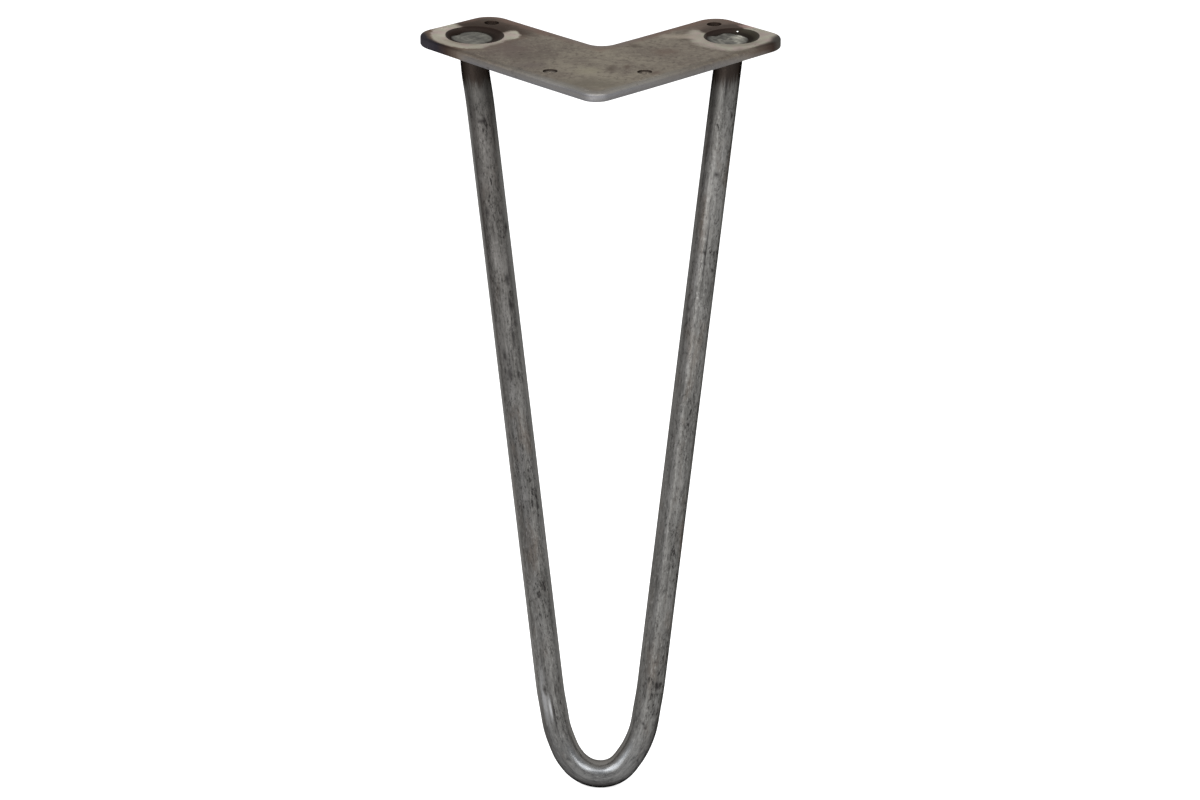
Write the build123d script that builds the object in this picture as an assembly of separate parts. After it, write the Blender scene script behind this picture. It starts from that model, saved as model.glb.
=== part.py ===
from build123d import *
import math
import os

# A hairpin table leg: a V-shaped mounting plate, one bent rod and two plug welds.
# Millimetres. +Z is up and the plate's top face is the plane Z = 0.
# The origin is on that face, midway between the front pair of screw holes.
# The plate's outer corner points to -Y and its two arms open towards +Y.

# Driving sizes

# The whole leg, from the tabletop's underside to the floor.
leg_height = 355.6

# The V-shaped plate. Lengths run along an outer edge from the sharp outer corner.
arm_length = 122.5
arm_width = 50.0
plate_thickness = 4.0
outer_corner_radius = 8.0
inner_corner_radius = 8.0
tip_corner_radius = 12.5
back_corner_radius = 10.0
top_edge_radius = 1.2
bottom_edge_chamfer = 0.3

# Screw holes. The front pair is placed from the outer corner and the rear pair from the arms' ends.
screw_hole_diameter = 6.5
front_screw_along = 40.3
front_screw_from_outer_edge = 10.6
rear_screw_from_end = 10.3
rear_screw_from_inner_edge = 8.9

# The rod and its bend. The nose is the tight arc at the foot and the cheeks are the wide arcs beside it.
rod_diameter = 12.7
rod_from_end = 17.2
rod_from_outer_edge = 22.8
plane_lean = 3.2
nose_radius = 15.0
nose_half_angle = 56.5
cheek_radius = 60.0

# The dished weld holes and the welds in them.
dish_diameter = 26.0
dish_floor_diameter = 17.0
dish_depth = 2.4
dish_lip_radius = 0.6
weld_crest_depth = 1.5
weld_edge_depth = 1.9

# Clearances
rod_bore_clearance = 0.15
trim_allowance = 6.0

# Values that follow from the sizes

# A place on the right arm is given along its outer edge and across from that edge.
# The arms run at 45 degrees, so both become X and a setback behind the sharp outer corner.
slant = math.sqrt(0.5)
front_screw_x = (front_screw_along - front_screw_from_outer_edge) * slant
front_screw_setback = (front_screw_along + front_screw_from_outer_edge) * slant
rear_screw_along = arm_length - rear_screw_from_end
rear_screw_across = arm_width - rear_screw_from_inner_edge
rear_screw_x = (rear_screw_along - rear_screw_across) * slant
rear_screw_setback = (rear_screw_along + rear_screw_across) * slant
rod_along = arm_length - rod_from_end
rod_x = (rod_along - rod_from_outer_edge) * slant
rod_setback = (rod_along + rod_from_outer_edge) * slant

rod_radius = rod_diameter / 2
lean = math.radians(plane_lean)
nose_angle = math.radians(nose_half_angle)
rod_y = rod_setback - front_screw_setback
rear_screw_y = rear_screw_setback - front_screw_setback

# The hairpin's plane holds the X axis and leans so that the foot comes in under the plate.
foot_drop = leg_height - rod_radius
plane_length = foot_drop / math.cos(lean)
foot_y = rod_y - foot_drop * math.tan(lean)
hairpin_plane = Plane(
    origin=(0, foot_y, -foot_drop),
    x_dir=(1, 0, 0),
    z_dir=(0, -math.cos(lean), math.sin(lean)),
)

# Each straight is the tangent from the rod's place in the plate to the cheek arc.
cheek_centre_x = (nose_radius - cheek_radius) * math.sin(nose_angle)
cheek_centre_t = nose_radius + (cheek_radius - nose_radius) * math.cos(nose_angle)
to_plate_x = rod_x - cheek_centre_x
to_plate_t = plane_length - cheek_centre_t
to_plate = math.hypot(to_plate_x, to_plate_t)
straight_angle = math.atan2(to_plate_t, to_plate_x) + math.asin(cheek_radius / to_plate)


def rod_axis(side):
    """Direction of a straight of the rod, upwards, on the side with the sign of X given."""
    run = math.cos(straight_angle)
    rise = math.sin(straight_angle)
    return Vector(side * run, rise * math.sin(lean), rise * math.cos(lean))


def rod_point(side):
    """Where a rod's axis crosses the plate's top face."""
    return Vector(side * rod_x, rod_y, 0)


def round_corner(face, corner, radius):
    """Rounds the corner of a flat face that lies nearest to the point given."""
    nearest = face.vertices().sort_by_distance(corner)[0]
    return fillet(nearest, radius)


def plate_outline():
    """The V-shaped outline, its six corners rounded."""
    tip = arm_length * slant
    back_x = (arm_length - arm_width) * slant
    back_y = (arm_length + arm_width) * slant
    inner_y = arm_width / slant
    outer = Vector(0, -front_screw_setback)
    inner = outer + Vector(0, inner_y)
    right_tip = outer + Vector(tip, tip)
    left_tip = outer + Vector(-tip, tip)
    right_back = outer + Vector(back_x, back_y)
    left_back = outer + Vector(-back_x, back_y)
    corners = [outer, right_tip, right_back, inner, left_back, left_tip]
    face = make_face(Polyline(*corners, close=True))
    face = round_corner(face, outer, outer_corner_radius)
    face = round_corner(face, inner, inner_corner_radius)
    for corner in (right_tip, left_tip):
        face = round_corner(face, corner, tip_corner_radius)
    for corner in (right_back, left_back):
        face = round_corner(face, corner, back_corner_radius)
    return face


def screw_holes():
    """Straight holes for the four wood screws."""
    holes = Part()
    for side in (-1, 1):
        for x, y in ((front_screw_x, 0), (rear_screw_x, rear_screw_y)):
            drill = Cylinder(screw_hole_diameter / 2, 3 * plate_thickness)
            holes += Pos(side * x, y, 0) * drill
    return holes


def dish(side):
    """The shallow cone sunk into the top face round a rod's end."""
    cone = Cone(
        dish_floor_diameter / 2,
        dish_diameter / 2,
        dish_depth,
        align=(Align.CENTER, Align.CENTER, Align.MAX),
    )
    return Pos(rod_point(side)) * cone


def rod_bore(side):
    """The slanted hole that a rod's end stands in."""
    bore = Cylinder(rod_radius + rod_bore_clearance, 4 * plate_thickness)
    return Plane(origin=rod_point(side), z_dir=rod_axis(side)) * bore


def mounting_plate():
    """The plate with its edges eased, its screw holes and its two dished weld holes."""
    plate = extrude(plate_outline(), -plate_thickness)
    top = plate.faces().sort_by(Axis.Z)[-1]
    plate = fillet(top.outer_wire().edges(), top_edge_radius)
    bottom = plate.faces().sort_by(Axis.Z)[0]
    plate = chamfer(bottom.outer_wire().edges(), bottom_edge_chamfer)
    plate -= screw_holes()
    for side in (-1, 1):
        plate -= dish(side)
        plate -= rod_bore(side)
        lip = plate.edges().filter_by(GeomType.CIRCLE)
        lip = lip.filter_by(lambda e: abs(e.radius - dish_diameter / 2) < dish_lip_radius)
        lip = lip.filter_by(lambda e: e.center().X * side > 0)
        plate = fillet(lip, dish_lip_radius)
    return plate


def hairpin_rod():
    """One round bar bent to a hairpin: nose arc, two cheek arcs and two straights, cut flat at the dish floors."""
    reach = plane_length + trim_allowance
    stretch = trim_allowance / math.tan(straight_angle)

    def nose_at(angle):
        return (nose_radius * math.sin(angle), nose_radius * (1 - math.cos(angle)))

    def cheek_at(side, angle):
        x = cheek_centre_x + cheek_radius * math.sin(angle)
        return (side * x, cheek_centre_t - cheek_radius * math.cos(angle))

    mid_cheek = (nose_angle + straight_angle) / 2
    path = ThreePointArc(nose_at(-nose_angle), nose_at(0), nose_at(nose_angle))
    for side in (-1, 1):
        start = nose_at(side * nose_angle)
        end = cheek_at(side, straight_angle)
        path += ThreePointArc(start, cheek_at(side, mid_cheek), end)
        path += Line(end, (side * (rod_x + stretch), reach))
    path = hairpin_plane * path
    start_plane = Plane(origin=path @ 0, z_dir=path % 0)
    bar = sweep(start_plane * Circle(rod_radius), path=path)
    return split(bar, bisect_by=Plane.XY.offset(-dish_depth), keep=Keep.BOTTOM)


def plug_weld(side):
    """The weld metal in a dish: flat below on the rod's end, domed above and short of the plate's top face."""
    slope = (dish_diameter - dish_floor_diameter) / 2 / dish_depth
    edge_radius = dish_diameter / 2 - slope * weld_edge_depth
    rise = weld_edge_depth - weld_crest_depth
    dome_radius = (edge_radius**2 + rise**2) / (2 * rise)
    dome_centre = rod_point(side) - Vector(0, 0, weld_crest_depth + dome_radius)
    # The ball lies on its side, so that its poles stay off the weld's crest.
    dome = Pos(dome_centre) * Rot(90, 0, 0) * Sphere(dome_radius)
    return dish(side) & dome


os.makedirs("parts", exist_ok=True)
export_step(mounting_plate(), "parts/mounting_plate.step")
export_step(hairpin_rod(), "parts/hairpin_rod.step")
export_step(plug_weld(-1), "parts/left_plug_weld.step")
export_step(plug_weld(1), "parts/right_plug_weld.step")
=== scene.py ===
"""A bare-steel hairpin table leg, dressed for a plain studio picture.

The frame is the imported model. The plate, the bar and the two plug welds are numpy surfaces that follow
the frame's own sizes, in metres, and stand for its nodes.
"""

import logging
import math
from dataclasses import dataclass, field
from enum import Enum
from typing import Any, Optional, Sequence, Union

import bmesh
import bpy
import numpy as np
from mathutils import Matrix, Vector
from mathutils.geometry import delaunay_2d_cdt


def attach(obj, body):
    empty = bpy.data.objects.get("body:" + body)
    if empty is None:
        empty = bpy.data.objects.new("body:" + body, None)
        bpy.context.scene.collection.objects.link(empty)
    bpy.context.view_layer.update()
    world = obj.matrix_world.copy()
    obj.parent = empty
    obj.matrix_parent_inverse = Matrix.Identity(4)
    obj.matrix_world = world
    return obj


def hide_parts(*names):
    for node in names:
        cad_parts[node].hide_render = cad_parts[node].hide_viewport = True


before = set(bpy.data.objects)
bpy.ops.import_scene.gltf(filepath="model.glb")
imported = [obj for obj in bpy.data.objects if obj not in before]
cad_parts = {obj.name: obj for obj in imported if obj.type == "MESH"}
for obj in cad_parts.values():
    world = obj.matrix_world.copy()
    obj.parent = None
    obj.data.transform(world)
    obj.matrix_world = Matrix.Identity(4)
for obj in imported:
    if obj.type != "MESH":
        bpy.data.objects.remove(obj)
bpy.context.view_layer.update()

LOG = logging.getLogger("hairpin_leg")
SLANT = math.sqrt(0.5)
TURN = 2.0 * math.pi

Socket = bpy.types.NodeSocket
Value = Union[float, Sequence[float], "Field"]
Colour = tuple[float, float, float, float]
Pair = tuple[float, float]
Point = tuple[float, float, float]


class Side(Enum):
    """A side of the leg, as the sign of X."""

    LEFT = -1
    RIGHT = 1

    def pick(self, left: Any, right: Any) -> Any:
        """The one of two values that belongs to this side."""
        return left if self is Side.LEFT else right


class Blend(Enum):
    """How one colour goes over another."""

    OVER = "MIX"
    MULTIPLY = "MULTIPLY"


def paint(red: int, green: int, blue: int) -> Colour:
    """Turns a display colour of 0 to 255 a channel into a linear one.

    Args:
        red: The red channel.
        green: The green channel.
        blue: The blue channel.

    Returns:
        The linear colour with full alpha.
    """
    shown = np.array([red, green, blue]) / 255.0
    linear = np.where(shown <= 0.04045, shown / 12.92, ((shown + 0.055) / 1.055) ** 2.4)
    return (*(float(channel) for channel in linear), 1.0)


@dataclass(frozen=True)
class LegSizes:
    """The leg's sizes in metres, as in the part's source."""

    height: float = 0.3556
    arm_length: float = 0.1225
    arm_width: float = 0.050
    thickness: float = 0.004
    outer_radius: float = 0.008
    inner_radius: float = 0.008
    tip_radius: float = 0.0125
    back_radius: float = 0.010
    top_edge: float = 0.0012
    bottom_edge: float = 0.0003
    screw_radius: float = 0.00325
    front_screw: Pair = (0.0403, 0.0106)
    rear_screw: Pair = (0.1122, 0.0411)
    rod_place: Pair = (0.1053, 0.0228)
    rod_radius: float = 0.00635
    bore_radius: float = 0.0065
    lean: float = math.radians(3.2)
    nose_radius: float = 0.015
    nose_angle: float = math.radians(56.5)
    cheek_radius: float = 0.060
    dish_radius: float = 0.013
    dish_floor_radius: float = 0.0085
    dish_depth: float = 0.0024

    @property
    def setback(self) -> float:
        """How far the sharp outer corner lies in front of the origin."""
        return sum(self.front_screw) * SLANT

    def on_plate(self, place: Pair, side: Side = Side.RIGHT) -> np.ndarray:
        """Turns a place along an arm's outer edge and across from it into X and Y."""
        along, across = place
        return np.array([side.value * (along - across) * SLANT, (along + across) * SLANT - self.setback])

    def rod_end(self, side: Side = Side.RIGHT) -> np.ndarray:
        """Where a rod's axis meets the plate's top face, in X and Y."""
        return self.on_plate(self.rod_place, side)


SIZES = LegSizes()


def wave(a: np.ndarray, b: np.ndarray, seed: int, terms: int = 7) -> np.ndarray:
    """A smooth wandering value over two parameters: a sum of sines of growing pitch and falling height.

    Args:
        a: First parameter, in turns of the slowest sine.
        b: Second parameter, in turns of the slowest sine.
        seed: Picks the phases.
        terms: How many sines are added.

    Returns:
        Values of about -1 to 1, in the parameters' common shape.
    """
    draw = np.random.default_rng(seed)
    order = np.arange(1, terms + 1)
    height = order**-0.7
    phase = draw.uniform(0.0, TURN, terms)
    cross = draw.integers(1, terms + 1, terms) * draw.choice([-1, 1], terms)
    inner = TURN * (np.multiply.outer(a, order) + np.multiply.outer(b, cross)) + phase
    return (np.sin(inner) * height).sum(axis=-1) / math.sqrt(float((height**2).sum()))


def turns(steps: int) -> np.ndarray:
    """Even shares of a whole turn, from 0 and short of 1."""
    return np.linspace(0.0, 1.0, steps, endpoint=False)


def into_scene(name: str, data: bpy.types.ID) -> bpy.types.Object:
    """Makes an object and links it to the scene.

    Args:
        name: The object's name.
        data: Its mesh, light or camera.

    Returns:
        The object.
    """
    thing = bpy.data.objects.new(name, data)
    bpy.context.scene.collection.objects.link(thing)
    return thing


class MeshParts:
    """Collects grids, fans and triangles into one mesh object."""

    merge_gap: float = 2e-6
    sliver: float = 1e-7

    def __init__(self, name: str) -> None:
        """Starts an empty piece.

        Args:
            name: The piece's name.
        """
        self.name = name
        self.points: list[np.ndarray] = []
        self.faces: list[np.ndarray] = []
        self.values: dict[str, list[np.ndarray]] = {}
        self.count = 0

    def _take(self, points: np.ndarray, faces: np.ndarray, values: dict[str, np.ndarray]) -> None:
        """Appends a batch to the piece.

        Args:
            points: Points by three.
            faces: Their faces, four corners each.
            values: Named values a point.
        """
        self.points.append(points)
        self.faces.append(faces + self.count)
        for key, value in values.items():
            self.values.setdefault(key, []).append(value)
        self.count += len(points)

    def grid(self, points: np.ndarray, **values: np.ndarray) -> None:
        """Adds a grid of quads whose last column joins the first.

        Args:
            points: Rows by columns by three.
            values: Named values, rows by columns (by three).
        """
        rows, columns = points.shape[:2]
        index = np.arange(rows * columns).reshape(rows, columns)
        index = np.concatenate([index, index[:, :1]], axis=1)
        quads = np.stack([index[:-1, :-1], index[:-1, 1:], index[1:, 1:], index[1:, :-1]], axis=-1)
        flat = {key: value.reshape(rows * columns, *value.shape[2:]) for key, value in values.items()}
        self._take(points.reshape(-1, 3), quads.reshape(-1, 4), flat)

    def fan(self, ring: np.ndarray, centre: np.ndarray, **values: np.ndarray) -> None:
        """Closes a ring with triangles to a centre point.

        Args:
            ring: The ring's points in order.
            centre: The point that closes it.
            values: Named values on the ring's points and then the centre.
        """
        here = np.arange(len(ring))
        faces = np.stack([here, np.roll(here, -1), np.full_like(here, len(ring))], axis=-1)
        self.triangles(np.concatenate([ring, centre[None]]), faces, **values)

    def triangles(self, points: np.ndarray, faces: np.ndarray, **values: np.ndarray) -> None:
        """Adds loose triangles, each stored as a quad that repeats its last corner."""
        self._take(points, np.concatenate([faces, faces[:, 2:]], axis=1), values)

    def finish(self, sharp: float) -> bpy.types.Object:
        """Makes the object: loads the arrays, merges seams, turns faces outwards and smooths.

        Args:
            sharp: Edges that turn by more degrees than this stay sharp.

        Returns:
            The new object, at the origin and in the scene.
        """
        loops = [tuple(dict.fromkeys(face)) for face in np.concatenate(self.faces).tolist()]
        mesh = bpy.data.meshes.new(self.name)
        mesh.from_pydata(np.concatenate(self.points), [], loops)
        for key, rows in self.values.items():
            data = np.concatenate(rows).astype(np.float32)
            kind, slot = ("FLOAT", "value") if data.ndim == 1 else ("FLOAT_VECTOR", "vector")
            mesh.attributes.new(key, kind, "POINT").data.foreach_set(slot, data.ravel())
        work = bmesh.new()
        work.from_mesh(mesh)
        bmesh.ops.remove_doubles(work, verts=work.verts, dist=self.merge_gap)
        bmesh.ops.dissolve_degenerate(work, edges=work.edges, dist=self.sliver)
        bmesh.ops.recalc_face_normals(work, faces=work.faces)
        loose = sum(not edge.is_manifold for edge in work.edges)
        work.to_mesh(mesh)
        work.free()
        mesh.polygons.foreach_set("use_smooth", np.ones(len(mesh.polygons), bool))
        mesh.set_sharp_from_angle(angle=math.radians(sharp))
        piece = into_scene(self.name, mesh)
        LOG.info("%s: %d faces, %d open edges", self.name, len(mesh.polygons), loose)
        return piece


class Field:
    """A value that changes over a surface: a node's output, on which arithmetic places more nodes."""

    def __init__(self, graph: "Graph", socket: Socket) -> None:
        """Holds an output of the graph given."""
        self.graph = graph
        self.socket = socket

    def __add__(self, other: Value) -> "Field":
        """The sum."""
        return self.graph.math("ADD", self, other)

    def __sub__(self, other: Value) -> "Field":
        """The difference."""
        return self.graph.math("SUBTRACT", self, other)

    def __rsub__(self, other: float) -> "Field":
        """A plain number less this."""
        return self.graph.math("SUBTRACT", other, self)

    def __mul__(self, other: Value) -> "Field":
        """The product."""
        return self.graph.math("MULTIPLY", self, other)

    def __truediv__(self, other: Value) -> "Field":
        """The quotient."""
        return self.graph.math("DIVIDE", self, other)

    def __abs__(self) -> "Field":
        """The value without its sign."""
        return self.graph.math("ABSOLUTE", self)

    def most(self, other: Value) -> "Field":
        """The larger of two."""
        return self.graph.math("MAXIMUM", self, other)

    def span(self, low: Value, high: Value, start: Value = 0.0, end: Value = 1.0) -> "Field":
        """A smooth step of this value: start at low, end at high, whichever of these is larger."""
        inputs = {"Value": self, "From Min": low, "From Max": high, "To Min": start, "To Max": end}
        return self.graph.put("ShaderNodeMapRange", inputs, interpolation_type="SMOOTHSTEP")


class Graph:
    """Short calls for placing and joining the nodes of one tree."""

    def __init__(self, tree: bpy.types.NodeTree) -> None:
        """Works on the tree given."""
        self.tree = tree

    @classmethod
    def of(cls, owner: Union[bpy.types.Material, bpy.types.World]) -> "Graph":
        """Empties the graph of a material or a world.

        Args:
            owner: The material or world.

        Returns:
            Its graph.
        """
        owner.use_nodes = True
        owner.node_tree.nodes.clear()
        return cls(owner.node_tree)

    def add(self, kind: str, inputs: Optional[dict[Any, Value]] = None, **settings: Any) -> bpy.types.Node:
        """Places a node, sets its own fields and feeds its inputs.

        Args:
            kind: The node's type.
            inputs: Values by the input's name or number.
            settings: The node's own fields.

        Returns:
            The node.
        """
        node = self.tree.nodes.new(kind)
        for key, value in settings.items():
            setattr(node, key, value)
        for key, value in (inputs or {}).items():
            self.feed(node.inputs[key], value)
        return node

    def feed(self, socket: Socket, value: Value) -> None:
        """Joins a socket to a field, or sets its value.

        Args:
            socket: The input.
            value: A field, a number or a colour.
        """
        if isinstance(value, Field):
            self.tree.links.new(value.socket, socket)
        else:
            socket.default_value = value

    def put(self, kind: str, inputs: dict[Any, Value], output: Any = 0, **settings: Any) -> Field:
        """Places a node as add does, and gives the output of the name or number wanted."""
        return Field(self, self.add(kind, inputs, **settings).outputs[output])

    def outputs(self, node: bpy.types.Node) -> dict[str, Field]:
        """All of a node's outputs by name."""
        return {socket.name: Field(self, socket) for socket in node.outputs}

    def end(self, kind: str, shader: Field) -> None:
        """Joins a shader to an output node of the kind given."""
        self.add(kind, {"Surface": shader})

    def attribute(self, name: str, output: str = "Fac") -> Field:
        """A named value that the piece's points carry."""
        return self.put("ShaderNodeAttribute", {}, output, attribute_name=name)

    def own_place(self) -> Field:
        """The piece's own coordinates, in metres."""
        return self.put("ShaderNodeTexCoord", {}, "Object")

    def math(self, operation: str, a: Value, b: Value = 0.0, clamp: bool = False) -> Field:
        """One arithmetic step on two numbers."""
        return self.put("ShaderNodeMath", {0: a, 1: b}, operation=operation, use_clamp=clamp)

    def size(self, x: Field, y: Field) -> Field:
        """The length of a flat vector."""
        both = self.put("ShaderNodeCombineXYZ", {0: x, 1: y})
        return self.put("ShaderNodeVectorMath", {0: both}, "Value", operation="LENGTH")

    def stretch(self, place: Field, factors: Value) -> Field:
        """A place with each axis multiplied."""
        return self.put("ShaderNodeVectorMath", {0: place, 1: factors}, operation="MULTIPLY")

    def split(self, vector: Field) -> list[Field]:
        """The X, Y and Z of a vector."""
        return list(self.outputs(self.add("ShaderNodeSeparateXYZ", {0: vector})).values())

    def noise(self, place: Field, scale: float, detail: float, rough: float, bend: float = 0.0) -> Field:
        """A noise of about 0 to 1: its pitch, its finer octaves, their strength and its distortion."""
        inputs = {"Vector": place, "Scale": scale, "Detail": detail, "Roughness": rough, "Distortion": bend}
        return self.put("ShaderNodeTexNoise", inputs)

    def mix(self, amount: Value, under: Value, over: Value, blend: Blend = Blend.OVER) -> Field:
        """Lays one colour over another by an amount."""
        inputs = {0: amount, 6: under, 7: over}
        return self.put("ShaderNodeMix", inputs, 2, data_type="RGBA", blend_type=blend.value)

    def group(self, tree: bpy.types.NodeTree, **inputs: Value) -> dict[str, Field]:
        """Places a shared effect with its own values, and gives its outputs by name."""
        return self.outputs(self.add("ShaderNodeGroup", inputs, node_tree=tree))


class SharedEffects:
    """The node groups that the finishes place."""

    temper_stops: tuple[tuple[float, Colour], ...] = (
        (0.0, paint(106, 97, 88)), (0.24, paint(76, 67, 60)), (0.46, paint(46, 36, 32)),
        (0.68, paint(28, 28, 36)), (0.84, paint(42, 41, 47)), (1.0, paint(58, 54, 58)),
    )

    def __init__(self) -> None:
        """Builds each group once."""
        self.streaks = self._streaks()
        self.specks = self._specks()
        self.temper = self._temper()

    @staticmethod
    def _start(name: str, inputs: dict[str, str], outputs: dict[str, str]) -> tuple[Graph, Any, Any]:
        """Starts a group with named sockets.

        Args:
            name: The group's name.
            inputs: Socket name to kind: Float, Vector or Color.
            outputs: The same for what it puts out.

        Returns:
            The graph, what the group is given and its output node's sockets.
        """
        tree = bpy.data.node_groups.new(name, "ShaderNodeTree")
        for way, sockets in (("INPUT", inputs), ("OUTPUT", outputs)):
            for socket, kind in sockets.items():
                tree.interface.new_socket(name=socket, in_out=way, socket_type=f"NodeSocket{kind}")
        graph = Graph(tree)
        return graph, graph.outputs(graph.add("NodeGroupInput")), graph.add("NodeGroupOutput").inputs

    def _streaks(self) -> bpy.types.NodeTree:
        """Lines left by drawing or rolling: two noises, both stretched along the metal's length.

        Returns:
            The group.
        """
        inputs = {"Place": "Vector", "Stretch": "Vector"}
        graph, given, out = self._start("drawn_streaks", inputs, {"Streak": "Float", "Band": "Float"})
        place = graph.stretch(given["Place"], given["Stretch"])
        graph.feed(out["Streak"], graph.noise(place, 1.0, 4.0, 0.65).span(0.3, 0.7))
        graph.feed(out["Band"], graph.noise(place, 0.3, 2.0, 0.5).span(0.32, 0.68))
        return graph.tree

    def _specks(self) -> bpy.types.NodeTree:
        """Dark specks of mill scale: the peaks of a stretched noise, in clusters set by a slower one.

        Returns:
            The group.
        """
        inputs = {"Place": "Vector", "Stretch": "Vector", "Amount": "Float"}
        graph, given, out = self._start("scale_specks", inputs, {"Speck": "Float", "Stain": "Float"})
        place = graph.stretch(given["Place"], given["Stretch"])
        crumbs = graph.noise(place, 1.0, 3.5, 0.62, 0.25)
        cluster = graph.noise(place, 0.16, 2.0, 0.5)
        level = crumbs + (cluster - 0.5) * 0.55 + given["Amount"]
        graph.feed(out["Speck"], level.span(0.61, 0.74))
        graph.feed(out["Stain"], level.span(0.44, 0.68))
        return graph.tree

    def _temper(self) -> bpy.types.NodeTree:
        """Temper colours of heated steel: straw, browns, blue-black and a dull violet grey.

        Returns:
            The group.
        """
        outputs = {"Tint": "Color", "Cover": "Float"}
        graph, given, out = self._start("temper_colours", {"Heat": "Float"}, outputs)
        ramp = graph.add("ShaderNodeValToRGB", {0: given["Heat"]})
        elements = ramp.color_ramp.elements
        while len(elements) < len(self.temper_stops):
            elements.new(0.5)
        for element, (place, colour) in zip(elements, self.temper_stops):
            element.position = place
            element.color = colour
        graph.feed(out["Tint"], Field(graph, ramp.outputs[0]))
        graph.feed(out["Cover"], given["Heat"].span(0.0, 0.25))
        return graph.tree


class Finish:
    """A material in the making: its graph, and a coat of colour that layers go over."""

    def __init__(self, name: str, coat: Colour) -> None:
        """Starts a material.

        Args:
            name: The material's name.
            coat: Its first colour.
        """
        self.material = bpy.data.materials.new(name)
        self.graph = Graph.of(self.material)
        self.coat: Value = coat

    def lay(self, amount: Value, colour: Value) -> None:
        """Lays a colour over the coat by an amount of 0 to 1."""
        self.coat = self.graph.mix(amount, self.coat, colour)

    def darken(self, amount: Value, colour: Value) -> None:
        """Multiplies the coat by a colour, by an amount of 0 to 1."""
        self.coat = self.graph.mix(amount, self.coat, colour, Blend.MULTIPLY)

    def close(self, rough: Value, metallic: Value, height: Field, depth: float, edge: float) -> None:
        """Ends the material: joins its channels to a shader with a bump.

        Args:
            rough: Roughness.
            metallic: How metallic the surface is.
            height: Bump height of 0 to 1.
            depth: That height's depth in metres.
            edge: Grey of the reflection at a grazing angle.
        """
        channels = {
            "Base Color": self.coat, "Roughness": rough, "Metallic": metallic, "Specular IOR Level": 0.0,
            "Specular Tint": (edge, edge, edge, 1.0),
            "Normal": self.graph.put("ShaderNodeBump", {"Distance": depth, "Height": height}),
        }
        shader = self.graph.put("ShaderNodeBsdfPrincipled", channels)
        self.graph.end("ShaderNodeOutputMaterial", shader)


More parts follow.
